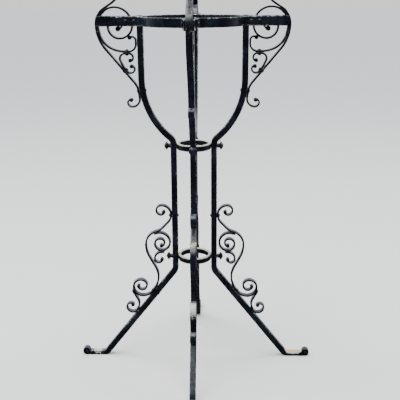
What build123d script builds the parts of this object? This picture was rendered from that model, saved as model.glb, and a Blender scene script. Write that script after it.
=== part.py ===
from build123d import *
import os
from math import acos, asin, atan2, copysign, cos, degrees, pi, radians, sin, sqrt, tan

# Wrought-iron umbrella stand, millimetres, +Z up, origin on the floor under the centre.
# Four square-bar legs stand round two small rings and open out to a flat-bar top ring.
# Each leg carries an upper and a lower panel of scrolls in its own radial plane.
# A panel is drawn as (distance from the axis, height). A pose is (point, heading) there,
# with 0 degrees outward and 90 up, and a path is a list of (radius, turn) arcs, left turns
# positive, where a turn of 0 makes the first number a straight length.

# ---- driving dimensions -------------------------------------------------------------
bar = 12.7  # square bar of the legs
strap = 4.0  # thickness of the scroll strap
strap_width = 12.7  # width of the scroll strap, across its panel
seat = 0.15  # gap between pieces that touch
eye_radius = 4.0  # rolled end of a scroll

top_radius = 106.0  # leg centres at the top ring
top_height = 758.0  # leg tops
shoulder_height = 632.0  # where a leg starts to curve inward
shoulder_bend = 160.0  # radius of that curve
waist_bend = 18.0  # radius where it turns down again
waist_radius = 42.5  # leg centres between the two small rings
knee_height = 213.0  # where the centre lines of waist and shin would cross
knee_bend = 20.0
shin_slope = 52.0  # degrees below horizontal
foot_bend = 16.0
foot_reach = 251.0  # centre of the rolled toe
toe_radius = 9.0

ring_wall = 5.9  # small rings that hold the umbrellas
ring_height = 12.7
upper_ring_height = 492.5  # mid heights
lower_ring_height = 243.8

stud_shank = 2.5  # radius
stud_collar = 4.9  # radius of the thick neck between leg and head
stud_neck = 5.0  # its length
stud_head = 9.3  # radius over the corners of the eight-sided head
stud_head_back = 2.6  # depth of the slope behind its rim
stud_head_peak = 6.0
stud_head_taper = 48.0  # degrees from the shank's direction
stud_tail = 1.2  # peened end inside the ring

frame_drop = 11.0  # from the leg tops down to the middle of the top frame
frame_bar = 4.0  # thickness of its flat bar
clamp_height = 20.0
clamp_reach = 193.5  # outer ends of the clamp arms
clamp_slack = 1.0  # behind the leg
clamp_corner = 3.5  # bend radius at its centre line
quadrant_height = 18.0
quadrant_radius = 104.0
quadrant_bend = 10.0
ear_reach = 152.0  # ends of the quadrants' turned-out ears
end_round = 1.8  # worn vertical edges at bar ends

rivet_shank = 2.0  # radius
rivet_fit = 0.1  # radial clearance in its hole
rivet_head = 3.6
rivet_head_rim = 2.2
rivet_head_height = 2.0
low_head_height = 0.8  # where a head is hammered nearly flush
rivet_lift = 0.5  # keeps a flat head off a curved strap
leg_rivet_radius = 116.5  # frame rivet just outside the leg
ear_rivet_radius = 133.0  # frame rivet near the ends of the ears

shoulder_contact_turn = 8.5  # where the upper strap lies on the curved leg
cheek_radius = 194.4  # widest part of the upper strap
cheek_height = 740.0
upper_curl_height = 338.0  # where the lower strap lies on the upright leg
shin_contact = 69.0  # from the knee to where the lower strap lies on the shin
tail_contact = 134.0  # and where the tail scroll lies on it

upward = (Align.CENTER, Align.CENTER, Align.MIN)
sides = {"right": 0, "back": 90, "left": 180, "front": 270}
os.makedirs("parts", exist_ok=True)


# ---- drawing in a panel -------------------------------------------------------------
def toward(heading):
    """Unit vector along a heading."""
    return Vector(cos(radians(heading)), sin(radians(heading)))


def beside(pose, distance):
    """The pose moved sideways, to the left when distance is positive."""
    point, heading = pose
    return point + toward(heading + 90) * distance, heading


def facing_back(pose):
    """The pose turned round."""
    point, heading = pose
    return point, heading + 180


def travel(pose, path):
    """The pose reached at the end of a path."""
    for size, turn in path:
        point, heading = pose
        if turn == 0:
            pose = (point + toward(heading) * size, heading)
        else:
            centre = beside(pose, copysign(size, turn))[0]
            pose = beside((centre, heading + turn), -copysign(size, turn))
    return pose


def bridge(start, start_radius, end, end_radius):
    """Arc, straight, arc from one pose to another; a left-hand radius is positive."""
    start_centre = beside(start, start_radius)[0]
    end_centre = beside(end, end_radius)[0]
    span = end_centre - start_centre
    slant = asin((end_radius - start_radius) / span.length)
    heading = degrees(atan2(span.Y, span.X) - slant)
    first_turn = (heading - start[1]) % 360
    last_turn = (end[1] - heading) % 360
    if start_radius < 0:
        first_turn -= 360
    if end_radius < 0:
        last_turn -= 360
    straight = span.length * cos(slant)
    return [(abs(start_radius), first_turn), (straight, 0), (abs(end_radius), last_turn)]


def spiral(*radii):
    """Quarter turns to the left, one for each radius."""
    return [(radius, 90) for radius in radii]


def mirrored(path):
    """The same path turning the other way."""
    return [(size, -turn) for size, turn in path]


def draw(pose, path):
    """Draw a path in the line being built."""
    for size, turn in path:
        point, heading = pose
        if turn == 0:
            Line(point, point + toward(heading) * size)
        else:
            JernArc(point, toward(heading), size, turn)
        pose = travel(pose, [(size, turn)])


def panel_plane(side):
    """Radial plane of one side: X outward, Y up."""
    outward = toward(sides[side])
    return Plane(origin=(0, 0, 0), x_dir=outward, z_dir=outward.cross(Vector(0, 0, 1)))


def across(side, pose):
    """Location at a pose of a panel whose Z points to the left of the heading."""
    point, heading = pose
    return panel_plane(side).location * Pos(point.X, point.Y) * Rot(Z=heading) * Rot(X=-90)


def through(side, radius, height):
    """Location in a panel whose Z is square to the panel."""
    return panel_plane(side).location * Pos(radius, height)


def finish(part, name):
    """Label a part and write its STEP file."""
    part.label = name
    export_step(part, f"parts/{name}.step")


# ---- centre line of a leg -----------------------------------------------------------
frame_height = top_height - frame_drop
shoulder_turn = degrees(acos(1 - (top_radius - waist_radius) / (shoulder_bend + waist_bend)))
knee_turn = 90 - shin_slope
knee_tangent = knee_bend * tan(radians(knee_turn / 2))
foot_tangent = foot_bend * tan(radians(shin_slope / 2))
shin_length = (knee_height - bar / 2) / sin(radians(shin_slope))
foot_corner = waist_radius + (knee_height - bar / 2) / tan(radians(shin_slope))

leg_top = (Vector(top_radius, top_height), 270)
shoulder = (Vector(top_radius, shoulder_height), 270)
goblet_path = [(shoulder_bend, -shoulder_turn), (waist_bend, shoulder_turn)]
waist = travel(shoulder, goblet_path)
knee = (Vector(waist_radius, knee_height), -shin_slope)
leg_path = [
    (top_height - shoulder_height, 0),
    *goblet_path,
    (waist[0].Y - knee_height - knee_tangent, 0),
    (knee_bend, knee_turn),
    (shin_length - knee_tangent - foot_tangent, 0),
    (foot_bend, shin_slope),
    (foot_reach - foot_corner - foot_tangent, 0),
]
outside_leg = bar / 2 + seat + strap / 2  # from the centre of a leg to a strap lying on it
side_by_side = strap + seat  # between the centres of two straps that lie together

# ---- upper panel --------------------------------------------------------------------
# The long strap lies on the leg, runs out to the cheek and ends in a curl at the top.
shoulder_point = travel(shoulder, [(shoulder_bend, -shoulder_contact_turn)])
strap_on_shoulder = beside(shoulder_point, outside_leg)
cheek = (Vector(cheek_radius, cheek_height), 90)
brow_radius = 38.0
flank_radius = 75.0
rise_to_cheek = bridge(facing_back(strap_on_shoulder), -35, cheek, flank_radius)
upper_strap_runs = [
    (
        facing_back(strap_on_shoulder),
        rise_to_cheek
        + [(brow_radius, 58), (14, 0), (60, -20)]
        + [(30, -130), (21, -90), (14, -90), (9, -60)],
    ),
    (strap_on_shoulder, [(14, 0), (16, 98.5), (9, 90), (5.5, 110)]),
]

joint_flat = 9.0  # straight stretch where two scrolls are riveted

# The wreath scroll lies inside the long strap and curls up at both ends.
wreath_cheek = beside(cheek, side_by_side)
wreath_drop = [(flank_radius - side_by_side, -16), (44, -50), (60, -24), (joint_flat, 0)]
wreath_low = travel(facing_back(wreath_cheek), wreath_drop)
wreath_runs = [
    (wreath_cheek, spiral(brow_radius - side_by_side, 35, 26, 23, 17, 12, 9)),
    (facing_back(wreath_cheek), wreath_drop + [(14.5, -90), (7, 0), (7.5, -130)]),
]

# The inner scroll joins the wreath scroll to the long strap below it.
inner_foot_rise = 30.5
inner_top = beside(travel(wreath_low, [(-joint_flat, 0)]), side_by_side)
rise_start = travel(facing_back(strap_on_shoulder), rise_to_cheek[:1])
inner_foot = travel(beside(rise_start, side_by_side), [(inner_foot_rise, 0)])
inner_rise = travel(inner_foot, [(joint_flat / 2, 0)])
inner_runs = [
    (
        inner_foot,
        [(joint_flat / 2, 0)]
        + bridge(inner_rise, 22, inner_top, 10)
        + [(joint_flat, 0), (8, 110), (5, 80)],
    ),
    (facing_back(inner_foot), [(joint_flat / 2, 0), (8.5, -130), (5.5, -110)]),
]

# ---- lower panel --------------------------------------------------------------------
# The long strap curls over at the top, bulges outward, lies on the shin and curls up.
upright = (Vector(waist_radius, upper_curl_height), 270)
strap_on_upright = beside(upright, outside_leg)
bulge_top = (strap_on_upright[0] + Vector(32.5, -36.5), -15)
bulge_radius = 32.0
bulge_path = [(bulge_radius, -75)]
bulge = travel(bulge_top, bulge_path)
strap_on_shin = beside(travel(knee, [(shin_contact, 0)]), outside_leg)
shin_run = 6.0
curl_radius = 21.0
to_curl = [(shin_run, 0), (27, shin_slope)]
curl_start = travel(strap_on_shin, to_curl)
lower_strap_runs = [
    (facing_back(strap_on_upright), [(3, 0), (20, -90), (11.5, -90), (10, -90), (6, -90)]),
    (
        strap_on_upright,
        bridge(strap_on_upright, 22, bulge_top, 30)
        + bulge_path
        + bridge(bulge, -60, strap_on_shin, 50)
        + to_curl
        + spiral(curl_radius, 17, 13, 11, 8),
    ),
]

# The belly spiral laps under the bulge and curls down close to the leg.
belly_lap = 14.0
lap_end = travel(bulge_top, [(bulge_radius, -belly_lap)])
belly_start = facing_back(beside(lap_end, -side_by_side))
belly_drop = [(bulge_radius - side_by_side, belly_lap), (22.5, 105), (18.5, 90)]
belly_low = travel(belly_start, belly_drop)
belly_runs = [(belly_start, belly_drop + spiral(15, 12, 9.5, 7))]

# The hook hangs under the belly spiral.
hook_start = beside(belly_low, -side_by_side)
hook_stub = 6.0
hook_runs = [
    (hook_start, mirrored(spiral(16, 9, 7))),
    (facing_back(hook_start), [(hook_stub, 0)]),
]

# The tail scroll leaves the low curl and lies on the shin below it.
tail_angle = 70.0
tail_hug = 15.0
tail_start = facing_back(beside(travel(curl_start, [(curl_radius, tail_angle)]), -side_by_side))
tail_wrap = [(curl_radius + side_by_side, -tail_hug)]
tail_free = travel(tail_start, tail_wrap)
tail_on_shin = beside(travel(knee, [(tail_contact, 0)]), outside_leg)
tail_runs = [
    (
        tail_start,
        tail_wrap
        + bridge(tail_free, 20, tail_on_shin, 26)
        + [(12, shin_slope), (13, 90), (8.5, 90), (5, 80)],
    ),
]

# ---- rivets -------------------------------------------------------------------------
# Each is (pose on a strap, face on its right, face on its left), across the strap.
low_headed = ("brow", "flank", "belly", "hook", "tail")
strap_face = strap / 2
onto_leg = strap_face + seat + bar
onto_strap = strap_face + side_by_side
brow_rivet = travel(cheek, [(brow_radius, 45)])
flank_rivet = travel(facing_back(cheek), [(flank_radius, -13)])
upper_rivets = {
    "leg": (strap_on_shoulder, -onto_leg, strap_face),
    "brow": (brow_rivet, -strap_face, onto_strap),
    "flank": (flank_rivet, -onto_strap, strap_face),
    "inner_top": (travel(inner_top, [(joint_flat / 2, 0)]), -onto_strap, strap_face),
    "inner_foot": (inner_foot, -onto_strap, strap_face),
}
belly_rivet = travel(belly_start, [(bulge_radius - side_by_side, belly_lap / 2)])
tail_rivet = travel(tail_start, [(curl_radius + side_by_side, -tail_hug / 2)])
lower_rivets = {
    "leg": (strap_on_upright, -onto_leg, strap_face),
    "belly": (belly_rivet, -onto_strap, strap_face),
    "hook": (hook_start, -strap_face, onto_strap),
    "tail": (tail_rivet, -onto_strap, strap_face),
    "shin": (travel(strap_on_shin, [(shin_run / 2, 0)]), -onto_leg, strap_face),
}


def bent_strap(side, runs, rivet_poses):
    """A strap bent along its runs, with a rolled eye at the far end of each curled run."""
    with BuildPart() as scroll:
        with BuildSketch(panel_plane(side)):
            for start, path in runs:
                with BuildLine():
                    draw(start, path)
            trace(line_width=strap)
            for start, path in runs:
                end, _ = travel(start, path)
                if len(path) > 1:
                    with Locations(end):
                        Circle(eye_radius)
        extrude(amount=strap_width / 2, both=True)
        for pose in rivet_poses:
            with Locations(across(side, pose)):
                Cylinder(rivet_shank + rivet_fit, 4 * strap, mode=Mode.SUBTRACT)
    return scroll.part


def wear_ends(bar_part):
    """Bar in the plane of the top frame with the upright edges of its free ends rounded."""
    uprights = bar_part.edges().filter_by(Axis.Z)
    return bar_part.fillet(end_round, uprights.sort_by(lambda edge: Vector(*edge.center(), 0).length)[-4:])


def rivet(spot, low, high, head_height=rivet_head_height):
    """One rivet in the part being built, its shank between two heads."""
    low -= rivet_lift
    high += rivet_lift
    with Locations(spot * Pos(Z=low)):
        Cylinder(rivet_shank, high - low, align=upward)
    for height, flip in ((high, 0), (low, 180)):
        with Locations(spot * Pos(Z=height) * Rot(X=flip)):
            Cone(rivet_head, rivet_head_rim, head_height, align=upward)


# ---- build: one of each on every side -----------------------------------------------
ring_outer = waist_radius - bar / 2 - seat
ring_inner = ring_outer - ring_wall

for side in sides:
    # Leg: one bar from the top frame to the rolled toe
    with BuildPart() as leg:
        with BuildSketch(panel_plane(side)):
            with BuildLine():
                draw(leg_top, leg_path)
            trace(line_width=bar)
            with Locations((foot_reach, toe_radius)):
                Circle(toe_radius)
        extrude(amount=bar / 2, both=True)
        for contact in (upper_rivets["leg"][0], lower_rivets["leg"][0], lower_rivets["shin"][0]):
            with Locations(across(side, beside(contact, -outside_leg))):
                Cylinder(rivet_shank + rivet_fit, 2 * bar, mode=Mode.SUBTRACT)
        for height in (upper_ring_height, lower_ring_height):
            with Locations(across(side, (Vector(waist_radius, height), 270))):
                Cylinder(stud_shank + rivet_fit, 2 * bar, mode=Mode.SUBTRACT)
    finish(leg.part, f"leg_{side}")

    upper = {name: pose for name, (pose, low, high) in upper_rivets.items()}
    lower = {name: pose for name, (pose, low, high) in lower_rivets.items()}
    scrolls = {
        "upper_strap": (upper_strap_runs, ["leg", "brow", "flank", "inner_foot"], upper),
        "wreath_scroll": (wreath_runs, ["brow", "flank", "inner_top"], upper),
        "inner_scroll": (inner_runs, ["inner_top", "inner_foot"], upper),
        "lower_strap": (lower_strap_runs, ["leg", "belly", "tail", "shin"], lower),
        "belly_scroll": (belly_runs, ["belly", "hook"], lower),
        "hook_scroll": (hook_runs, ["hook"], lower),
        "tail_scroll": (tail_runs, ["tail"], lower),
    }
    for name, (runs, joints, poses) in scrolls.items():
        finish(bent_strap(side, runs, [poses[joint] for joint in joints]), f"{name}_{side}")

    # Clamp: flat bar bent round the inside of the leg, its arms either side of the panel
    arm_offset = bar / 2 + seat + frame_bar / 2
    back_of_clamp = top_radius - bar / 2 - clamp_slack - frame_bar / 2
    with BuildPart() as clamp:
        clamp_base = Plane.XY.offset(frame_height - clamp_height / 2).rotated((0, 0, sides[side]))
        with BuildSketch(clamp_base):
            with BuildLine():
                FilletPolyline(
                    (clamp_reach, -arm_offset),
                    (back_of_clamp, -arm_offset),
                    (back_of_clamp, arm_offset),
                    (clamp_reach, arm_offset),
                    radius=clamp_corner,
                )
            trace(line_width=frame_bar)
        extrude(amount=clamp_height)
        for radius in (leg_rivet_radius, ear_rivet_radius):
            with Locations(through(side, radius, frame_height)):
                Cylinder(rivet_shank + rivet_fit, 4 * bar, mode=Mode.SUBTRACT)
    finish(wear_ends(clamp.part), f"clamp_{side}")

    # Quadrant: the quarter of the top ring between this leg and the next
    ear_offset = arm_offset + frame_bar + seat
    bend_across = ear_offset + quadrant_bend
    bend_out = sqrt((quadrant_radius + quadrant_bend) ** 2 - bend_across**2)
    arc_start = degrees(atan2(bend_across, bend_out))
    quadrant_path = [
        (ear_reach - bend_out, 0),
        (quadrant_bend, -(90 - arc_start)),
        (quadrant_radius, 90 - 2 * arc_start),
        (quadrant_bend, -(90 - arc_start)),
        (ear_reach - bend_out, 0),
    ]
    with BuildPart() as quadrant:
        ring_base = Plane.XY.offset(frame_height - quadrant_height / 2).rotated((0, 0, sides[side]))
        with BuildSketch(ring_base):
            with BuildLine():
                draw((Vector(ear_reach, ear_offset), 180), quadrant_path)
            trace(line_width=frame_bar)
        extrude(amount=quadrant_height)
        following = {"right": "back", "back": "left", "left": "front", "front": "right"}[side]
        for end in (side, following):
            for radius in (leg_rivet_radius, ear_rivet_radius):
                with Locations(through(end, radius, frame_height)):
                    Cylinder(rivet_shank + rivet_fit, 4 * bar, mode=Mode.SUBTRACT)
    finish(wear_ends(quadrant.part), f"ring_quadrant_{side}_{following}")

# Small rings that keep the umbrellas upright
for name, height in (("upper_ring", upper_ring_height), ("lower_ring", lower_ring_height)):
    with BuildPart() as ring:
        with BuildSketch(Plane.XY.offset(height - ring_height / 2)):
            Circle(ring_outer)
            Circle(ring_inner, mode=Mode.SUBTRACT)
        extrude(amount=ring_height)
        for side in sides:
            with Locations(across(side, (Vector(ring_outer, height), 270))):
                Cylinder(stud_shank + rivet_fit, 4 * ring_wall, mode=Mode.SUBTRACT)
    finish(ring.part, name)

    # Studs: eight-sided peaked heads on a thick neck, driven through leg and ring
    with BuildPart() as studs:
        for side in sides:
            spot = across(side, (Vector(0, height), 270))
            neck_start = waist_radius + bar / 2 + seat
            neck_end = neck_start + stud_neck
            with Locations(spot * Pos(Z=ring_inner - rivet_lift)):
                Cylinder(stud_shank, neck_end - ring_inner + rivet_lift, align=upward)
            with Locations(spot * Pos(Z=ring_inner - rivet_lift) * Rot(X=180)):
                Cone(stud_shank + 1.5, stud_shank, stud_tail, align=upward)
            with Locations(spot * Pos(Z=neck_start)):
                Cylinder(stud_collar, stud_neck, align=upward)
            with Locations(spot * Pos(Z=neck_end)):
                Cone(stud_collar, stud_head * cos(pi / 8), stud_head_back, align=upward)
            with BuildSketch(Plane(spot * Pos(Z=neck_end + stud_head_back))):
                RegularPolygon(stud_head, 8)
            extrude(amount=stud_head_peak, taper=stud_head_taper)
    finish(studs.part, f"{name}_studs")

# Rivets: one node for each panel's and one for the top frame's
for name, stack in (("upper_scroll_rivets", upper_rivets), ("lower_scroll_rivets", lower_rivets)):
    with BuildPart() as rivets:
        for side in sides:
            for joint, (pose, low, high) in stack.items():
                head_height = low_head_height if joint in low_headed else rivet_head_height
                rivet(across(side, pose), low, high, head_height)
    finish(rivets.part, name)

ear_face = ear_offset + frame_bar / 2
with BuildPart() as frame_rivets:
    for side in sides:
        for radius in (leg_rivet_radius, ear_rivet_radius):
            rivet(through(side, radius, frame_height), -ear_face, ear_face)
finish(frame_rivets.part, "frame_rivets")
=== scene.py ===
from math import acos, asin, atan2, ceil, copysign, cos, degrees, pi, radians, sin, sqrt, tan

import bmesh
import bpy
from mathutils import Matrix, Vector


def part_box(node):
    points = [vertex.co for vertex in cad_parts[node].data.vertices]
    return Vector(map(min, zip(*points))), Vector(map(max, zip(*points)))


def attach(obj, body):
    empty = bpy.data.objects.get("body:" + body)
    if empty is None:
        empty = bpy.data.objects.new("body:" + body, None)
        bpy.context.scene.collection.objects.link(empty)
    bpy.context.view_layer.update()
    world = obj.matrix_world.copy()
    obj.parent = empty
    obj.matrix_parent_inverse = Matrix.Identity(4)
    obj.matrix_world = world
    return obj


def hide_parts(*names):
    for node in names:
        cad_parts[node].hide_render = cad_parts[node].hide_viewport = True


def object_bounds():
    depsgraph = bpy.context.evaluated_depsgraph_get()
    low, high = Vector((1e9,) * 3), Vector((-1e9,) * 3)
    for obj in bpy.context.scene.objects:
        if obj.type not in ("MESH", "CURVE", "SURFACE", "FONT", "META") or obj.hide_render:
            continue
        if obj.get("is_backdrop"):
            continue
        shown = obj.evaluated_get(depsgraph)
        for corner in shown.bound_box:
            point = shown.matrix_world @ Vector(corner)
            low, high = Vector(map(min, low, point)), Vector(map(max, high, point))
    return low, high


bl_info = {
    "name": "Wrought-iron umbrella stand",
    "version": (1, 0, 0),
    "blender": (4, 5, 0),
    "location": "View3D > Sidebar > Stand",
    "description": "Models the painted iron pieces of an umbrella stand over its plain frame",
    "category": "Object",
}

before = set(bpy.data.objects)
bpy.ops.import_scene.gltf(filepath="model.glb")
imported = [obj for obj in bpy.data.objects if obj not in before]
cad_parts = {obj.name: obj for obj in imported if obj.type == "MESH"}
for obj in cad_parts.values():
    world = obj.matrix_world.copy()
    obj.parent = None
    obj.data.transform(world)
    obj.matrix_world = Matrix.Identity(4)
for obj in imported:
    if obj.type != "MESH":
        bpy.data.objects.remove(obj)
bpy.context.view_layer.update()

# Shapes are worked out in millimetres and scaled to metres when they are placed.
MM = 0.001
SIDES = {"right": 0, "back": 90, "left": 180, "front": 270}


def reach(node):
    """Lowest and highest corner of a frame node, in millimetres."""
    low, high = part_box(node)
    return low / MM, high / MM


# ---- sizes read from the frame --------------------------------------------------------
leg_low, leg_high = reach("leg_right")
clamp_low, clamp_high = reach("clamp_right")
strap_low, strap_high = reach("upper_strap_right")
quadrant_low, quadrant_high = reach("ring_quadrant_right_back")
ring_high = reach("upper_ring")[1]

BAR = leg_high.y - leg_low.y
TOP_HEIGHT = leg_high.z
WAIST = leg_low.x + BAR / 2
STRAP_WIDTH = strap_high.y - strap_low.y
STRAP = 4.0
SEAT = 0.15
TOE = 9.0
FOOT_REACH = leg_high.x - TOE
CLAMP_REACH = clamp_high.x
FRAME_BAR = 4.0
CLAMP_SLACK = 1.0
TOP_RADIUS = clamp_low.x + FRAME_BAR + CLAMP_SLACK + BAR / 2
CLAMP_HEIGHT = clamp_high.z - clamp_low.z
FRAME_HEIGHT = (clamp_high.z + clamp_low.z) / 2
QUADRANT_HEIGHT = quadrant_high.z - quadrant_low.z
EAR_REACH = quadrant_high.x
RING_OUTER = ring_high.x
RING_WALL = 5.9
EYE = 4.0
OUTSIDE_LEG = BAR / 2 + SEAT + STRAP / 2
SIDE_BY_SIDE = STRAP + SEAT
SHOULDER_HEIGHT = 632
KNEE_HEIGHT = 213
SHIN_SLOPE = 52
GOBLET_BEND = 160
WAIST_BEND = 18
KNEE_BEND = 20
FOOT_BEND = 16
ROLL_RADIUS = TOE - BAR / 2
ROLL_TURN = 400
CHEEK_HEIGHT = 740
CHEEK_BEND = 75
BULGE_BEND = 32
LOW_CURL_BEND = 21
FLATTENED_FOOT = 9.5
RIVET_RADIUS = 3.6


# ---- paths in a panel: (distance from the axis, height), headings in degrees ----------
def toward(heading):
    """Unit vector along a heading."""
    return Vector((cos(radians(heading)), sin(radians(heading))))


def beside(pose, distance):
    """The pose moved sideways, to the left when distance is positive."""
    point, heading = pose
    return point + toward(heading + 90) * distance, heading


def facing_back(pose):
    """The pose turned round."""
    return pose[0], pose[1] + 180


def travel(pose, path):
    """The pose reached at the end of a path of (radius, turn) arcs and (length, 0) straights."""
    for size, turn in path:
        point, heading = pose
        if turn == 0:
            pose = (point + toward(heading) * size, heading)
        else:
            centre = beside(pose, copysign(size, turn))[0]
            pose = beside((centre, heading + turn), -copysign(size, turn))
    return pose


def bridge(start, start_radius, end, end_radius):
    """Arc, straight, arc from one pose to another; a left-hand radius is positive."""
    span = beside(end, end_radius)[0] - beside(start, start_radius)[0]
    slant = asin((end_radius - start_radius) / span.length)
    heading = degrees(atan2(span.y, span.x) - slant)
    first_turn = (heading - start[1]) % 360
    last_turn = (end[1] - heading) % 360
    if start_radius < 0:
        first_turn -= 360
    if end_radius < 0:
        last_turn -= 360
    straight = span.length * cos(slant)
    return [(abs(start_radius), first_turn), (straight, 0), (abs(end_radius), last_turn)]


def spiral(*radii):
    """Quarter turns to the left, one for each radius."""
    return [(radius, 90) for radius in radii]


def mirrored(path):
    """The same path turning the other way."""
    return [(size, -turn) for size, turn in path]


def stations(start, path):
    """Poses along a path, close enough together to look round."""
    poses = [start]
    for size, turn in path:
        base = poses[-1]
        length = size * radians(abs(turn)) if turn else size
        count = max(ceil(abs(turn) / 7), ceil(length / 9))
        for i in range(1, count + 1):
            share = i / count
            step = (size, turn * share) if turn else (size * share, 0)
            poses.append(travel(base, [step]))
    return poses


def joined(runs):
    """The stations of one run, or of two that leave the same point back to back."""
    if len(runs) == 1:
        return stations(*runs[0])
    back = [facing_back(pose) for pose in reversed(stations(*runs[0]))]
    return back + stations(*runs[1])[1:]


# Centre line of a leg
shoulder = (Vector((TOP_RADIUS, SHOULDER_HEIGHT)), 270)
goblet_turn = degrees(acos(1 - (TOP_RADIUS - WAIST) / (GOBLET_BEND + WAIST_BEND)))
goblet = [(GOBLET_BEND, -goblet_turn), (WAIST_BEND, goblet_turn)]
waist = travel(shoulder, goblet)
knee = (Vector((WAIST, KNEE_HEIGHT)), -SHIN_SLOPE)
knee_tangent = KNEE_BEND * tan(radians((90 - SHIN_SLOPE) / 2))
foot_tangent = FOOT_BEND * tan(radians(SHIN_SLOPE / 2))
shin_length = (KNEE_HEIGHT - BAR / 2) / sin(radians(SHIN_SLOPE))
foot_corner = WAIST + (KNEE_HEIGHT - BAR / 2) / tan(radians(SHIN_SLOPE))
leg_start = (Vector((TOP_RADIUS, TOP_HEIGHT)), 270)
leg_path = [
    (TOP_HEIGHT - SHOULDER_HEIGHT, 0),
    *goblet,
    (waist[0].y - KNEE_HEIGHT - knee_tangent, 0),
    (KNEE_BEND, 90 - SHIN_SLOPE),
    (shin_length - knee_tangent - foot_tangent, 0),
    (FOOT_BEND, SHIN_SLOPE),
    (FOOT_REACH - foot_corner - foot_tangent, 0),
    (ROLL_RADIUS, ROLL_TURN),
]

# Upper panel
on_shoulder = beside(travel(shoulder, [(GOBLET_BEND, -8.5)]), OUTSIDE_LEG)
cheek = (Vector((strap_high.x - STRAP / 2, CHEEK_HEIGHT)), 90)
rise = bridge(facing_back(on_shoulder), -35, cheek, CHEEK_BEND)
wreath_cheek = beside(cheek, SIDE_BY_SIDE)
wreath_drop = [(CHEEK_BEND - SIDE_BY_SIDE, -16), (44, -50), (60, -24), (9, 0)]
wreath_low = travel(facing_back(wreath_cheek), wreath_drop)
inner_top = beside(travel(wreath_low, [(-9, 0)]), SIDE_BY_SIDE)
inner_foot = travel(beside(travel(facing_back(on_shoulder), rise[:1]), SIDE_BY_SIDE), [(30.5, 0)])
inner_rise = travel(inner_foot, [(4.5, 0)])

# Lower panel
on_upright = beside((Vector((WAIST, 338)), 270), OUTSIDE_LEG)
bulge_top = (on_upright[0] + Vector((32.5, -36.5)), -15)
bulge = travel(bulge_top, [(BULGE_BEND, -75)])
on_shin = beside(travel(knee, [(69, 0)]), OUTSIDE_LEG)
to_curl = [(6, 0), (27, SHIN_SLOPE)]
low_curl = travel(on_shin, to_curl)
belly_start = facing_back(beside(travel(bulge_top, [(BULGE_BEND, -14)]), -SIDE_BY_SIDE))
belly_drop = [(BULGE_BEND - SIDE_BY_SIDE, 14), (22.5, 105), (18.5, 90)]
hook_start = beside(travel(belly_start, belly_drop), -SIDE_BY_SIDE)
tail_start = facing_back(beside(travel(low_curl, [(LOW_CURL_BEND, 70)]), -SIDE_BY_SIDE))
tail_free = travel(tail_start, [(LOW_CURL_BEND + SIDE_BY_SIDE, -15)])
tail_on_shin = beside(travel(knee, [(134, 0)]), OUTSIDE_LEG)

UPPER_SCROLLS = {
    "upper_strap": [
        (
            facing_back(on_shoulder),
            rise + [(38, 58), (14, 0), (60, -20), (30, -130), (21, -90), (14, -90), (9, -60)],
        ),
        (on_shoulder, [(14, 0), (16, 98.5), (9, 90), (5.5, 110)]),
    ],
    "wreath_scroll": [
        (wreath_cheek, spiral(38 - SIDE_BY_SIDE, 35, 26, 23, 17, 12, 9)),
        (facing_back(wreath_cheek), wreath_drop + [(14.5, -90), (7, 0), (7.5, -130)]),
    ],
    "inner_scroll": [
        (inner_foot, [(4.5, 0)] + bridge(inner_rise, 22, inner_top, 10) + [(9, 0), (8, 110), (5, 80)]),
        (facing_back(inner_foot), [(4.5, 0), (8.5, -130), (5.5, -110)]),
    ],
}
LOWER_SCROLLS = {
    "lower_strap": [
        (facing_back(on_upright), [(3, 0), (20, -90), (11.5, -90), (10, -90), (6, -90)]),
        (
            on_upright,
            bridge(on_upright, 22, bulge_top, 30)
            + [(BULGE_BEND, -75)]
            + bridge(bulge, -60, on_shin, 50)
            + to_curl
            + spiral(LOW_CURL_BEND, 17, 13, 11, 8),
        ),
    ],
    "belly_scroll": [(belly_start, belly_drop + spiral(15, 12, 9.5, 7))],
    "hook_scroll": [(hook_start, mirrored(spiral(16, 9, 7))), (facing_back(hook_start), [(6, 0)])],
    "tail_scroll": [
        (
            tail_start,
            [(LOW_CURL_BEND + SIDE_BY_SIDE, -15)]
            + bridge(tail_free, 20, tail_on_shin, 26)
            + [(12, SHIN_SLOPE), (13, 90), (8.5, 90), (5, 80)],
        ),
    ],
}

# Rivets of a panel: (pose on a strap, face on its right, face on its left, share of a full dome)
ONTO_LEG = STRAP / 2 + SEAT + BAR
ONTO_STRAP = STRAP / 2 + SIDE_BY_SIDE
UPPER_RIVETS = [
    (on_shoulder, -ONTO_LEG, STRAP / 2, 0.7),
    (travel(cheek, [(38, 45)]), -STRAP / 2, ONTO_STRAP, 0.25),
    (travel(facing_back(cheek), [(CHEEK_BEND, -13)]), -ONTO_STRAP, STRAP / 2, 0.25),
    (travel(inner_top, [(4.5, 0)]), -ONTO_STRAP, STRAP / 2, 1),
    (inner_foot, -ONTO_STRAP, STRAP / 2, 0.8),
]
LOWER_RIVETS = [
    (on_upright, -ONTO_LEG, STRAP / 2, 1),
    (travel(belly_start, [(BULGE_BEND - SIDE_BY_SIDE, 7)]), -ONTO_STRAP, STRAP / 2, 0.25),
    (hook_start, -STRAP / 2, ONTO_STRAP, 0.25),
    (travel(tail_start, [(LOW_CURL_BEND + SIDE_BY_SIDE, -7.5)]), -ONTO_STRAP, STRAP / 2, 0.25),
    (travel(on_shin, [(3, 0)]), -ONTO_LEG, STRAP / 2, 0.7),
]

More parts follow.
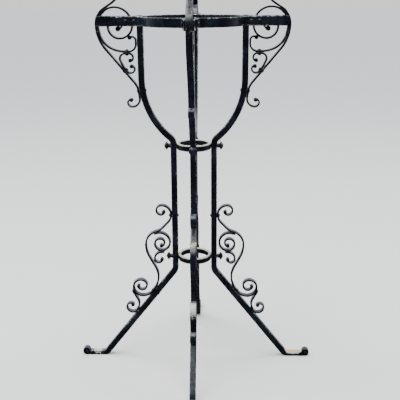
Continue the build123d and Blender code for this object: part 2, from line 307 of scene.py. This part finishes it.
# Pale scuffs in the paint, on the left foot's top and the front lower curl also a painted highlight: (side,
# distance from the axis, height, reach in millimetres, strength)
SCUFFS_AND_GLINTS = [
    ("front", 196, 738, 30, 0.55),
    ("front", 198, 790, 40, 0.5),
    # Top of the front lower curl: pale chips, partly a painted highlight.
    ("front", 131, 176, 30, 1.05),
    ("front", 84, 296, 26, 0.9),
    ("front", 108, 690, 30, 0.5),
    ("right", 235, 11.5, 12, 2.2),
    ("right", 228, 11.5, 12, 2.2),
    ("right", 221, 11.5, 12, 2.2),
    ("right", 214, 11.5, 12, 2.2),
    # Top of the left foot: pale chips, partly a painted highlight along the top face.
    ("left", 226, 12, 30, 0.9),
    ("left", 150, 116, 24, 0.55),
    ("right", 178, 60, 16, 0.5),
]


# ---- sizes and colours that a user would change ---------------------------------------
def length_setting(name, description, default):
    """A small length in metres."""
    return bpy.props.FloatProperty(
        name=name, description=description, default=default, min=0, unit="LENGTH", subtype="DISTANCE"
    )


def colour_setting(name, description, default):
    """A colour written as an sRGB hex value."""
    return bpy.props.StringProperty(name=name, description=description, default=default)


class StandSettings(bpy.types.PropertyGroup):
    """Sizes and colours of the ironwork."""

    bar_corner: length_setting("Bar corner", "Rounding on the edges of the square bar", 0.0013)
    strap_corner: length_setting("Strap corner", "Rounding on the edges of the straps", 0.0009)
    frame_corner: length_setting("Frame corner", "Rounding on the edges of the top frame", 0.0009)
    ring_corner: length_setting("Ring corner", "Rounding on the edges of the small rings", 0.0015)
    curl_taper: length_setting("Curl taper", "Length over which a strap thins to its curl", 0.055)
    rivet_dome: length_setting("Rivet dome", "Height of a rivet's domed head", 0.0026)
    hammer_depth: length_setting("Hammer depth", "Depth of the hammer marks under the paint", 0.0006)
    paint: colour_setting("Paint", "Black paint, sRGB", "090e17")
    # Lighter paint tone laid in broad blotches: a painted sheen.
    paint_sheen: colour_setting("Thin paint", "Paint where it has worn thin, sRGB", "1a222c")
    primer: colour_setting("Primer", "Old cream undercoat in the chips, sRGB", "c6c6b8")
    undercoat: colour_setting("Undercoat", "Tan undercoat in the deepest scuffs, sRGB", "c9a977")
    rust: colour_setting("Rust", "Rust round the chips, sRGB", "6d4a30")
    steel: colour_setting("Steel", "Bare rubbed iron at the edges, sRGB", "a9adae")
    # Dust on upward faces, partly a painted highlight from the light above.
    dust_and_sheen: colour_setting("Dust", "Dust lying on upward faces, sRGB", "8f9599")


def settings():
    """The stand's settings in this scene."""
    return bpy.context.scene.stand_settings


# ---- materials ------------------------------------------------------------------------
def linear(code):
    """Linear colour from an sRGB hex value."""
    channels = [int(code[i : i + 2], 16) / 255 for i in (0, 2, 4)]
    return tuple(c / 12.92 if c <= 0.04045 else ((c + 0.055) / 1.055) ** 2.4 for c in channels) + (1,)


def add(tree, kind, values, links=None):
    """Adds a node with its settings and links; a key is an input's name or number, or a property."""
    node = tree.nodes.new(kind)
    for key, value in values.items():
        if isinstance(key, int) or key in node.inputs:
            node.inputs[key].default_value = value
        else:
            setattr(node, key, value)
    for key, source in (links or {}).items():
        tree.links.new(source, node.inputs[key])
    return node


def noise(tree, place, size, detail=3.0, roughness=0.55):
    """Noise whose features are about size millimetres across."""
    values = {"Scale": 1000 / size, "Detail": detail, "Roughness": roughness}
    return add(tree, "ShaderNodeTexNoise", values, {"Vector": place}).outputs["Fac"]


def ramp(tree, source, low, high):
    """0 below low, 1 above high, smooth between."""
    values = {"interpolation_type": "SMOOTHSTEP", "From Min": low, "From Max": high}
    return add(tree, "ShaderNodeMapRange", values, {"Value": source}).outputs["Result"]


def maths(tree, operation, first, second):
    """One sum of two values, each a socket or a number."""
    node = add(tree, "ShaderNodeMath", {"operation": operation})
    for i, value in enumerate((first, second)):
        if isinstance(value, (int, float)):
            node.inputs[i].default_value = value
        else:
            tree.links.new(value, node.inputs[i])
    return node.outputs[0]


def blend_colour(tree, factor, under, over):
    """The colour over laid on the colour under by factor."""
    node = add(tree, "ShaderNodeMix", {"data_type": "RGBA"}, {0: factor})
    for i, value in ((6, under), (7, over)):
        if isinstance(value, tuple):
            node.inputs[i].default_value = value
        else:
            tree.links.new(value, node.inputs[i])
    return node.outputs[2]


def painted_iron(name, wear, dust_and_sheen, hammer):
    """Hand-brushed black gloss paint over forged iron, worn at the edges and chipped to primer."""
    if name in bpy.data.materials:
        return bpy.data.materials[name]
    s = settings()
    material = bpy.data.materials.new(name)
    material.use_nodes = True
    tree = material.node_tree
    tree.nodes.clear()
    place = add(tree, "ShaderNodeTexCoord", {}).outputs["Object"]
    normal = add(tree, "ShaderNodeNewGeometry", {}).outputs["Normal"]
    facing = add(tree, "ShaderNodeSeparateXYZ", {}, {0: normal})
    corner = add(tree, "ShaderNodeAttribute", {"attribute_name": "worn"}).outputs["Fac"]
    scuff_and_glint = add(tree, "ShaderNodeAttribute", {"attribute_name": "scuff_and_glint"}).outputs["Fac"]

    broad = noise(tree, place, 38)
    flakes = noise(tree, place, 7, 5, 0.65)
    specks = noise(tree, place, 3.4, 4, 0.6)
    grit = noise(tree, place, 1.6, 4, 0.6)

    # Paint, lighter in broad blotches as a painted sheen, with dust and a painted highlight on what faces
    # up
    paint = blend_colour(tree, ramp(tree, broad, 0.42, 0.72), linear(s.paint), linear(s.paint_sheen))
    # Upward faces take the dust colour: dust, and partly a painted highlight from the light above.
    up = ramp(tree, facing.outputs["Z"], 0.45, 0.95)
    dusty_sheen = maths(tree, "MULTIPLY", maths(tree, "MULTIPLY", up, ramp(tree, flakes, 0.3, 0.75)), dust_and_sheen)
    paint = blend_colour(tree, dusty_sheen, paint, linear(s.dust_and_sheen))

    # Corners are rubbed to bare iron, which catches the light as broken bright lines
    rub = maths(tree, "ADD", maths(tree, "MULTIPLY", corner, 0.5), maths(tree, "MULTIPLY", flakes, 0.9))
    rub = maths(tree, "ADD", rub, maths(tree, "MULTIPLY", broad, 0.5))
    bare = ramp(tree, rub, 1.36 - wear, 1.46 - wear)
    bare = maths(tree, "MULTIPLY", bare, ramp(tree, corner, 0.35, 0.8))
    halo = maths(tree, "MULTIPLY", ramp(tree, rub, 1.26 - wear, 1.4 - wear), ramp(tree, corner, 0.2, 0.7))
    colour = blend_colour(tree, maths(tree, "MULTIPLY", halo, 0.25), paint, linear(s.rust))
    colour = blend_colour(tree, bare, colour, linear(s.steel))

    # Scuffs break the paint into pale chips, cream at the edge and tan where they go deepest; on the left
    # foot's top and the front lower curl they also stand in for a painted highlight
    chip = maths(tree, "ADD", maths(tree, "MULTIPLY", scuff_and_glint, 0.75), maths(tree, "MULTIPLY", specks, 0.8))
    rim = ramp(tree, chip, 0.72, 0.84)
    chip = ramp(tree, chip, 0.8, 0.92)
    chip = maths(tree, "MULTIPLY", chip, ramp(tree, scuff_and_glint, 0.02, 0.2))
    rim = maths(tree, "MULTIPLY", rim, ramp(tree, scuff_and_glint, 0.02, 0.2))
    primer = blend_colour(tree, ramp(tree, scuff_and_glint, 0.95, 1.2), linear(s.primer), linear(s.undercoat))
    primer = blend_colour(tree, ramp(tree, grit, 0.58, 0.9), primer, linear(s.rust))
    colour = blend_colour(tree, maths(tree, "MULTIPLY", rim, 0.3), colour, linear(s.rust))
    colour = blend_colour(tree, chip, colour, primer)

    exposed = maths(tree, "MAXIMUM", bare, chip)
    gloss = maths(tree, "ADD", maths(tree, "MULTIPLY", flakes, 0.2), 0.17)
    gloss = maths(tree, "ADD", gloss, maths(tree, "MULTIPLY", exposed, 0.22))
    gloss = maths(tree, "ADD", gloss, maths(tree, "MULTIPLY", dusty_sheen, 0.3))
    metallic = maths(tree, "MULTIPLY", bare, 0.75)

    marks = noise(tree, place, 11, 2, 0.5)
    dents = add(
        tree, "ShaderNodeBump", {"Strength": hammer, "Distance": s.hammer_depth}, {"Height": marks}
    )
    relief = maths(tree, "ADD", maths(tree, "MULTIPLY", flakes, 0.6), maths(tree, "MULTIPLY", grit, 0.25))
    relief = maths(tree, "SUBTRACT", relief, maths(tree, "MULTIPLY", exposed, 0.7))
    surface = add(
        tree,
        "ShaderNodeBump",
        {"Strength": 0.7, "Distance": 0.00022},
        {"Height": relief, "Normal": dents.outputs["Normal"]},
    )
    # Enamel paint: index of refraction 1.5, a soft brushed gloss with a thin clear film over it
    shader = add(
        tree,
        "ShaderNodeBsdfPrincipled",
        {"IOR": 1.5, "Specular IOR Level": 0.4, "Coat Weight": 0.15, "Coat Roughness": 0.14},
        {
            "Base Color": colour,
            "Roughness": gloss,
            "Metallic": metallic,
            "Normal": surface.outputs["Normal"],
        },
    )
    add(tree, "ShaderNodeOutputMaterial", {}, {"Surface": shader.outputs["BSDF"]})
    return material


def plain(name, code, roughness):
    """A plain matt finish for the stage."""
    material = bpy.data.materials.new(name)
    material.use_nodes = True
    shader = material.node_tree.nodes["Principled BSDF"]
    shader.inputs["Base Color"].default_value = linear(code)
    shader.inputs["Roughness"].default_value = roughness
    return material


# Finish of each slot: name, wear at the corners, dust and painted highlight on top, strength of the hammer
# marks
FINISHES = {
    "bar_iron": ("Brushed paint on square bar", 0.1, 0.3, 0.5),
    "scroll_iron": ("Brushed paint on scroll strap", 0.05, 0.4, 0.45),
    "frame_iron": ("Worn paint on the top frame", 0.14, 0.4, 0.8),
    "ring_iron": ("Rubbed paint on the small rings", 0.2, 0.4, 0.4),
    "fixings": ("Paint on hammered heads", 0.12, 0.4, 0.6),
}


# ---- modelling ------------------------------------------------------------------------
def in_panel(pose):
    """Frame at a pose of the right-hand panel: X along the path, Y across the panel, Z to the left."""
    point, heading = pose
    c, s = cos(radians(heading)), sin(radians(heading))
    return Matrix(((c, 0, -s, point.x), (0, 1, 0, 0), (s, 0, c, point.y), (0, 0, 0, 1)))


def in_plan(height):
    """The same for a path seen from above at a height: Y is up and Z to the right."""

    def placed(pose):
        point, heading = pose
        c, s = cos(radians(heading)), sin(radians(heading))
        return Matrix(((c, 0, s, point.x), (s, 0, -c, point.y), (0, 1, 0, height), (0, 0, 0, 1)))

    return placed


def outline(bm, width, thickness, corner):
    """Closed outline across a bar, width along Y and thickness along Z, with rounded corners."""
    verts = [
        bm.verts.new((0, y * width / 2, z * thickness / 2)) for y, z in ((-1, -1), (1, -1), (1, 1), (-1, 1))
    ]
    bm.faces.new(verts)
    rounded = bmesh.ops.bevel(
        bm, geom=verts, offset=corner, segments=3, affect="VERTICES", profile=0.5, material=-1
    )
    worn = bm.verts.layers.float["worn"]
    for vert in rounded["verts"]:
        vert[worn] = 1
    flats = [edge for edge in bm.edges if edge.calc_length() > 1.2 * corner]
    middle = bmesh.ops.subdivide_edges(bm, edges=flats, cuts=3)
    for vert in middle["geom_inner"]:
        if isinstance(vert, bmesh.types.BMVert):
            vert[worn] = 0
    bmesh.ops.delete(bm, geom=bm.faces[:], context="FACES_ONLY")
    return bm.edges[:]


def sweep(bm, poses, placed, size, corner, shape):
    """A bar along the poses. shape gives its width, thickness and sideways shift from the
    distances to both ends, the first two as shares of size."""
    part = bmesh.new()
    part.verts.layers.float.new("worn")
    ring = outline(part, size[0], size[1], corner)
    along = [0]
    for (a, _), (b, _) in zip(poses, poses[1:]):
        along.append(along[-1] + (b - a).length)
    before = Matrix.Identity(4)
    for i, (pose, distance) in enumerate(zip(poses, along)):
        width, thickness, shift = shape(distance, along[-1] - distance)
        here = placed(pose) @ Matrix.Translation((0, 0, shift)) @ Matrix.Diagonal((1, width, thickness, 1))
        if i:
            grown = bmesh.ops.extrude_edge_only(part, edges=ring)["geom"]
            verts = [g for g in grown if isinstance(g, bmesh.types.BMVert)]
            new = set(verts)
            ring = [g for g in grown if isinstance(g, bmesh.types.BMEdge) and new.issuperset(g.verts)]
        else:
            verts = part.verts[:]
        bmesh.ops.transform(part, matrix=here @ before.inverted(), space=Matrix.Identity(4), verts=verts)
        before = here
    bmesh.ops.holes_fill(part, edges=part.edges[:], sides=0)
    bmesh.ops.recalc_face_normals(part, faces=part.faces[:])
    gather(bm, part)


def lathe(bm, profile, axis, steps=20, faceted=False):
    """A turned shape: profile is (distance out, distance along) and axis a frame whose Z it follows."""
    part = bmesh.new()
    worn = part.verts.layers.float.new("worn")
    verts = [part.verts.new((out, 0, along)) for out, along in profile]
    for vert in verts:
        vert[worn] = 0.7
    for a, b in zip(verts, verts[1:]):
        part.edges.new((a, b))
    bmesh.ops.spin(
        part,
        geom=part.verts[:] + part.edges[:],
        cent=(0, 0, 0),
        axis=(0, 0, 1),
        angle=2 * pi,
        steps=steps,
        use_merge=True,
        use_duplicate=False,
    )
    bmesh.ops.remove_doubles(part, verts=part.verts[:], dist=1e-4)
    bmesh.ops.recalc_face_normals(part, faces=part.faces[:])
    bmesh.ops.transform(part, matrix=axis, space=Matrix.Identity(4), verts=part.verts[:])
    gather(bm, part, not faceted)


def gather(bm, part, smooth=True):
    """Adds a finished part to the piece."""
    for face in part.faces:
        face.smooth = smooth
    mesh = bpy.data.meshes.new("part")
    part.to_mesh(mesh)
    part.free()
    bm.from_mesh(mesh)
    bpy.data.meshes.remove(mesh)


def new_piece():
    """An empty piece with the wear values that its finish reads."""
    bm = bmesh.new()
    bm.verts.layers.float.new("worn")
    bm.verts.layers.float.new("scuff_and_glint")
    return bm


def complete(bm, node, slot, turn=0):
    """Turns a piece round the axis, sizes it to metres and puts it in place of its frame node."""
    bmesh.ops.rotate(bm, cent=(0, 0, 0), matrix=Matrix.Rotation(radians(turn), 3, "Z"), verts=bm.verts[:])
    scuffs_and_glints = bm.verts.layers.float["scuff_and_glint"]
    for side, out, height, size, strength in SCUFFS_AND_GLINTS:
        flat = toward(SIDES[side]) * out
        spot = Vector((flat.x, flat.y, height))
        for vert in bm.verts:
            vert[scuffs_and_glints] = max(vert[scuffs_and_glints], strength * (1 - (vert.co - spot).length / size))
    bmesh.ops.scale(bm, vec=(MM, MM, MM), verts=bm.verts[:])
    mesh = bpy.data.meshes.new(f"{node}_iron")
    bm.to_mesh(mesh)
    bm.free()
    mesh.set_sharp_from_angle(angle=radians(40))
    piece = bpy.data.objects.new(f"{node}_iron", mesh)
    bpy.context.scene.collection.objects.link(piece)
    mesh.materials.append(painted_iron(*FINISHES[slot]))
    low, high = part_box(node)
    for corner in piece.bound_box:
        for i in range(3):
            if not low[i] - 0.003 < corner[i] < high[i] + 0.003:
                raise RuntimeError(f"{node} leaves its frame node along axis {i}")
    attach(piece, "root")
    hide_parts(node)
    return piece


def eased(share):
    """0 to 1 with soft ends."""
    share = min(max(share, 0), 1)
    return share * share * (3 - 2 * share)


def blunt(distance, size=1.4):
    """Scale near a cut end whose edge is worn round."""
    return 0.8 + 0.2 * sqrt(1 - (1 - min(distance / size, 1)) ** 2)


def curled(bm, runs, taper, first_eye=EYE):
    """A scroll strap along its runs, thinned towards its curls, with a rolled eye in each."""
    poses = joined(runs)
    ends = [len(path) > 1 for _, path in (runs if len(runs) == 2 else [(None, [0]), runs[0]])]

    def shape(*distances):
        width = thickness = 1
        for distance, has_eye in zip(distances, ends):
            if has_eye:
                thickness *= 0.84 + 0.16 * eased(distance / taper)
                thickness += 0.75 * (1 - eased(distance / 7))
                width *= 0.94 + 0.06 * eased(distance / taper)
            else:
                thickness *= 0.5 + 0.5 * eased(distance / 4)
        return width, thickness, 0

    sweep(bm, poses, in_panel, (STRAP_WIDTH, STRAP), settings().strap_corner / MM, shape)
    half = STRAP_WIDTH / 2 * 0.97
    for pose, has_eye, size in ((poses[0], ends[0], first_eye), (poses[-1], ends[1], EYE)):
        if has_eye:
            eye = [(0, half - 0.7), (size * 0.35, half - 0.4), (size * 0.68, half)]
            eye += [(size * 0.9, half - 0.35), (size, half - 1.3)]
            eye += [(out, -along) for out, along in reversed(eye)]
            lathe(bm, eye, in_panel(pose) @ Matrix.Rotation(pi / 2, 4, "X"), 24)


def leg_shape(from_top, to_end):
    """Full bar down to the foot, then drawn thin, flat on the floor, and rolled into the toe."""
    roll = ROLL_RADIUS * radians(ROLL_TURN)
    before_roll = to_end - roll
    thickness = 5.6 + 3.9 * eased(before_roll / 9) + (BAR - FLATTENED_FOOT) * eased((before_roll - 38) / 18)
    turned = degrees(max(-before_roll, 0) / ROLL_RADIUS)
    outer = TOE - 3.8 * eased((turned - 130) / 300)
    shift = -(outer - thickness / 2 - ROLL_RADIUS)
    width = blunt(from_top, 1.6) * (1 + 0.03 * (1 - eased(before_roll / 30)))
    return width, thickness / BAR * blunt(from_top, 1.6), shift


def rivet_line(face_low, face_high, dome, radius=RIVET_RADIUS):
    """Profile of a rivet with a domed head outside each face, seated a little into the strap."""
    bump = [(radius, -0.3), (radius, dome * 0.14), (radius * 0.93, dome * 0.45)]
    bump += [(radius * 0.72, dome * 0.78)]
    bump += [(radius * 0.4, dome * 0.96), (0, dome)]
    top = [(out, face_high + along) for out, along in bump]
    bottom = [(out, face_low - along) for out, along in reversed(bump)]
    return bottom + top


# ---- operators ------------------------------------------------------------------------
class STAND_OT_legs(bpy.types.Operator):
    """Four legs of square bar, each from the top frame to its rolled toe"""

    bl_idname = "stand.legs"
    bl_label = "Legs"

    def execute(self, context):
        for side, turn in SIDES.items():
            bm = new_piece()
            sweep(
                bm,
                stations(leg_start, leg_path),
                in_panel,
                (BAR, BAR),
                settings().bar_corner / MM,
                leg_shape,
            )
            complete(bm, f"leg_{side}", "bar_iron", turn)
        return {"FINISHED"}


class STAND_OT_upper_scrolls(bpy.types.Operator):
    """Outer strap, wreath scroll and inner scroll of each upper panel"""

    bl_idname = "stand.upper_scrolls"
    bl_label = "Upper scrolls"

    def execute(self, context):
        for side, turn in SIDES.items():
            for name, runs in UPPER_SCROLLS.items():
                bm = new_piece()
                first_eye = 5 if name == "wreath_scroll" else EYE
                curled(bm, runs, settings().curl_taper / MM, first_eye)
                complete(bm, f"{name}_{side}", "scroll_iron", turn)
        return {"FINISHED"}


class STAND_OT_lower_scrolls(bpy.types.Operator):
    """Long strap, belly, hook and tail scroll of each lower panel"""

    bl_idname = "stand.lower_scrolls"
    bl_label = "Lower scrolls"

    def execute(self, context):
        for side, turn in SIDES.items():
            for name, runs in LOWER_SCROLLS.items():
                bm = new_piece()
                curled(bm, runs, settings().curl_taper / MM)
                complete(bm, f"{name}_{side}", "scroll_iron", turn)
        return {"FINISHED"}


class STAND_OT_top_frame(bpy.types.Operator):
    """Clamps round the legs and the quadrants of the top ring between them"""

    bl_idname = "stand.top_frame"
    bl_label = "Top frame"

    def execute(self, context):
        arm = BAR / 2 + SEAT + FRAME_BAR / 2
        bend = 3.5
        back = clamp_low.x + FRAME_BAR / 2
        ear = arm + FRAME_BAR + SEAT
        ring_radius, ring_bend = 104, 10
        across = ear + ring_bend
        bend_out = sqrt((ring_radius + ring_bend) ** 2 - across**2)
        lead = degrees(atan2(across, bend_out))

        def arm_shape(*distances):
            near = min(distances)
            thickness = 0.25 + 0.75 * sqrt(1 - (1 - min(near / 1.9, 1)) ** 2)
            wave = 0.012 * sin(near / 9) + 0.01 * sin(near / 3.7 + 1)
            return blunt(near) * (1 + wave), thickness, 0

        def ear_shape(*distances):
            near = min(distances)
            thickness = 0.3 + 0.7 * sqrt(1 - (1 - min(near / 1.8, 1)) ** 2)
            flare = 1 + 0.1 * (1 - eased(near / 30)) + 0.012 * sin(near / 7)
            return blunt(near) * flare, thickness, 0

        corner = settings().frame_corner / MM
        for side, following in zip(SIDES, [*list(SIDES)[1:], "right"]):
            bm = new_piece()
            clamp = [
                (CLAMP_REACH - back - bend, 0),
                (bend, -90),
                (2 * (arm - bend), 0),
                (bend, -90),
                (CLAMP_REACH - back - bend, 0),
            ]
            poses = stations((Vector((CLAMP_REACH, -arm)), 180), clamp)
            sweep(bm, poses, in_plan(FRAME_HEIGHT), (CLAMP_HEIGHT, FRAME_BAR), corner, arm_shape)
            complete(bm, f"clamp_{side}", "frame_iron", SIDES[side])

            bm = new_piece()
            quadrant = [
                (EAR_REACH - bend_out, 0),
                (ring_bend, lead - 90),
                (ring_radius, 90 - 2 * lead),
                (ring_bend, lead - 90),
                (EAR_REACH - bend_out, 0),
            ]
            poses = stations((Vector((EAR_REACH, ear)), 180), quadrant)
            sweep(bm, poses, in_plan(FRAME_HEIGHT), (QUADRANT_HEIGHT, FRAME_BAR), corner, ear_shape)
            complete(bm, f"ring_quadrant_{side}_{following}", "frame_iron", SIDES[side])
        return {"FINISHED"}


class STAND_OT_rings(bpy.types.Operator):
    """Two small rings inside the legs"""

    bl_idname = "stand.rings"
    bl_label = "Small rings"

    def execute(self, context):
        for node in ("upper_ring", "lower_ring"):
            low, high = reach(node)
            bm = new_piece()
            outline(bm, RING_WALL, high.z - low.z, settings().ring_corner / MM)
            bmesh.ops.rotate(
                bm, cent=(0, 0, 0), matrix=Matrix.Rotation(radians(-90), 3, "Z"), verts=bm.verts[:]
            )
            middle = (high.x - RING_WALL / 2, 0, (low.z + high.z) / 2)
            bmesh.ops.translate(bm, vec=middle, verts=bm.verts[:])
            bmesh.ops.spin(
                bm,
                geom=bm.verts[:] + bm.edges[:],
                cent=(0, 0, 0),
                axis=(0, 0, 1),
                angle=2 * pi,
                steps=96,
                use_merge=True,
                use_duplicate=False,
            )
            bmesh.ops.remove_doubles(bm, verts=bm.verts[:], dist=1e-4)
            bmesh.ops.recalc_face_normals(bm, faces=bm.faces[:])
            scuffs_and_glints = bm.verts.layers.float["scuff_and_glint"]
            rubbed = 1 if node == "lower_ring" else 0.8
            for face in bm.faces:
                face.smooth = True
            for vert in bm.verts:
                vert[scuffs_and_glints] = rubbed * eased((vert.co.z - high.z + 3.5) / 3)
            complete(bm, node, "ring_iron")
        return {"FINISHED"}


class STAND_OT_studs(bpy.types.Operator):
    """Studs with pyramid heads through each leg into the small rings"""

    bl_idname = "stand.studs"
    bl_label = "Studs"

    def execute(self, context):
        on_leg = WAIST + BAR / 2 + SEAT
        inside = RING_OUTER - RING_WALL
        back = on_leg + 5
        rim = back + 2.6
        stem = [(0, inside - 1.7), (2.2, inside - 1.6), (3.5, inside - 0.9), (4, inside + 0.1)]
        stem += [(2.5, inside + 0.1), (2.5, on_leg), (5, on_leg), (4.7, on_leg + 2.2), (4.6, back - 0.6)]
        stem += [(5.2, back + 0.4), (7.2, rim - 0.9), (7.2, rim)]
        rose = [(0, back + 1), (6.4, back + 1.2), (8.7, rim - 0.5), (9.3, rim + 0.1), (8.9, rim + 0.7)]
        rose += [(6.3, rim + 3.3), (2.9, rim + 5.3), (0, rim + 6)]
        for node in ("upper_ring_studs", "lower_ring_studs"):
            low, high = reach(node)
            height = (low.z + high.z) / 2
            out = Matrix.Translation((0, 0, height)) @ Matrix.Rotation(pi / 2, 4, "Y")
            bm = new_piece()
            for turn in SIDES.values():
                axis = Matrix.Rotation(radians(turn), 4, "Z") @ out
                lathe(bm, stem, axis)
                lathe(bm, rose, axis @ Matrix.Rotation(pi / 8, 4, "Z"), 8, faceted=True)
            complete(bm, node, "fixings")
        return {"FINISHED"}


class STAND_OT_rivets(bpy.types.Operator):
    """Domed rivets of the panels and of the top frame"""

    bl_idname = "stand.rivets"
    bl_label = "Rivets"

    def execute(self, context):
        dome = settings().rivet_dome / MM
        across = Matrix.Rotation(pi / 2, 4, "X")
        ear_face = BAR / 2 + SEAT + FRAME_BAR + SEAT + FRAME_BAR
        frame_stack = [
            (Matrix.Translation((radius, 0, FRAME_HEIGHT)) @ across, -ear_face, ear_face, 0.7)
            for radius in (116.5, 133)
        ]
        stacks = {
            "upper_scroll_rivets": [(in_panel(pose), *rest) for pose, *rest in UPPER_RIVETS],
            "lower_scroll_rivets": [(in_panel(pose), *rest) for pose, *rest in LOWER_RIVETS],
            "frame_rivets": frame_stack,
        }
        for node, stack in stacks.items():
            bm = new_piece()
            for turn in SIDES.values():
                for axis, low, high, fullness in stack:
                    spin = Matrix.Rotation(radians(turn), 4, "Z")
                    lathe(bm, rivet_line(low, high, dome * fullness), spin @ axis)
            complete(bm, node, "fixings")
        return {"FINISHED"}


class STAND_OT_stage(bpy.types.Operator):
    """Plain pale floor, soft studio light and the camera"""

    bl_idname = "stand.stage"
    bl_label = "Stage"

    def execute(self, context):
        scene = context.scene
        floor_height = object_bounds()[0][2]
        bm = bmesh.new()
        bmesh.ops.create_grid(bm, x_segments=1, y_segments=1, size=30)
        bmesh.ops.translate(bm, vec=(0, 0, floor_height - 0.0002), verts=bm.verts[:])
        mesh = bpy.data.meshes.new("floor")
        bm.to_mesh(mesh)
        bm.free()
        mesh.materials.append(plain("Pale floor", "e4e3e0", 0.85))
        floor = bpy.data.objects.new("floor", mesh)
        scene.collection.objects.link(floor)
        floor.visible_glossy = False
        floor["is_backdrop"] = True

        lights = [
            ("ceiling_panel", (-0.3, -0.3, 2.6), (0, 0, 0.4), 1.6, 46),
            ("left_panel", (-2.3, 0.4, 2.0), (0, 0, 0.2), 1.2, 30),
            ("right_panel", (2.3, 0.5, 2.0), (0, 0, 0.2), 1.2, 30),
        ]
        for name, spot, aim, size, power in lights:
            lamp = bpy.data.lights.new(name, "AREA")
            lamp.size = size
            lamp.energy = power
            light = bpy.data.objects.new(name, lamp)
            light.location = spot
            light.rotation_euler = (Vector(aim) - Vector(spot)).to_track_quat("-Z", "Y").to_euler()
            scene.collection.objects.link(light)

        daylight = bpy.data.lights.new("daylight", "SUN")
        daylight.energy = 2.3
        daylight.angle = radians(70)
        sun = bpy.data.objects.new("daylight", daylight)
        sun.rotation_euler = (radians(12), radians(-14), 0)
        scene.collection.objects.link(sun)

        world = bpy.data.worlds.new("studio")
        world.use_nodes = True
        tree = world.node_tree
        tree.nodes.clear()
        direction = add(tree, "ShaderNodeTexCoord", {}).outputs["Generated"]
        facing = add(tree, "ShaderNodeSeparateXYZ", {}, {0: direction})
        wall = ramp(tree, facing.outputs["Y"], -0.3, 0.8)
        ceiling = ramp(tree, facing.outputs["Z"], 0.35, 0.95)
        carpet = ramp(tree, facing.outputs["Z"], -0.35, -0.12)
        bright = maths(tree, "MULTIPLY", maths(tree, "MAXIMUM", wall, ceiling), carpet)
        bright = maths(tree, "ADD", maths(tree, "MULTIPLY", bright, 1.25), 0.05)
        glow = add(tree, "ShaderNodeBackground", {"Color": linear("dbe4ee")}, {"Strength": bright})
        backdrop = add(tree, "ShaderNodeBackground", {"Color": linear("f1f1ef"), "Strength": 1.25})
        seen = add(tree, "ShaderNodeLightPath", {}).outputs["Is Camera Ray"]
        both = add(tree, "ShaderNodeMixShader", {}, {0: seen, 1: glow.outputs[0], 2: backdrop.outputs[0]})
        add(tree, "ShaderNodeOutputWorld", {}, {"Surface": both.outputs[0]})
        scene.world = world

        lens = bpy.data.cameras.new("camera")
        lens.sensor_width = 36
        lens.lens = 61.56
        camera = bpy.data.objects.new("camera", lens)
        turn = (
            Matrix.Rotation(radians(1.49), 4, "Z")
            @ Matrix.Rotation(radians(90 - 17.05), 4, "X")
            @ Matrix.Rotation(radians(-0.35), 4, "Z")
        )
        camera.matrix_world = Matrix.Translation((0.049, -1.410, 0.805)) @ turn
        scene.collection.objects.link(camera)
        scene.camera = camera
        return {"FINISHED"}


OPERATORS = (
    STAND_OT_legs,
    STAND_OT_upper_scrolls,
    STAND_OT_lower_scrolls,
    STAND_OT_top_frame,
    STAND_OT_rings,
    STAND_OT_studs,
    STAND_OT_rivets,
    STAND_OT_stage,
)


class STAND_PT_sidebar(bpy.types.Panel):
    """Lists the stand's settings and the steps that model it"""

    bl_idname = "STAND_PT_sidebar"
    bl_label = "Umbrella stand"
    bl_space_type = "VIEW_3D"
    bl_region_type = "UI"
    bl_category = "Stand"

    def draw(self, context):
        for name in StandSettings.__annotations__:
            self.layout.prop(context.scene.stand_settings, name)
        for operator in OPERATORS:
            self.layout.operator(operator.bl_idname)


CLASSES = (StandSettings, *OPERATORS, STAND_PT_sidebar)


def register():
    for cls in CLASSES:
        bpy.utils.register_class(cls)
    bpy.types.Scene.stand_settings = bpy.props.PointerProperty(type=StandSettings)


def unregister():
    del bpy.types.Scene.stand_settings
    for cls in reversed(CLASSES):
        bpy.utils.unregister_class(cls)


def main():
    register()
    bpy.ops.stand.legs()
    bpy.ops.stand.upper_scrolls()
    bpy.ops.stand.lower_scrolls()
    bpy.ops.stand.top_frame()
    bpy.ops.stand.rings()
    bpy.ops.stand.studs()
    bpy.ops.stand.rivets()
    bpy.ops.stand.stage()


if __name__ == "__main__":
    main()
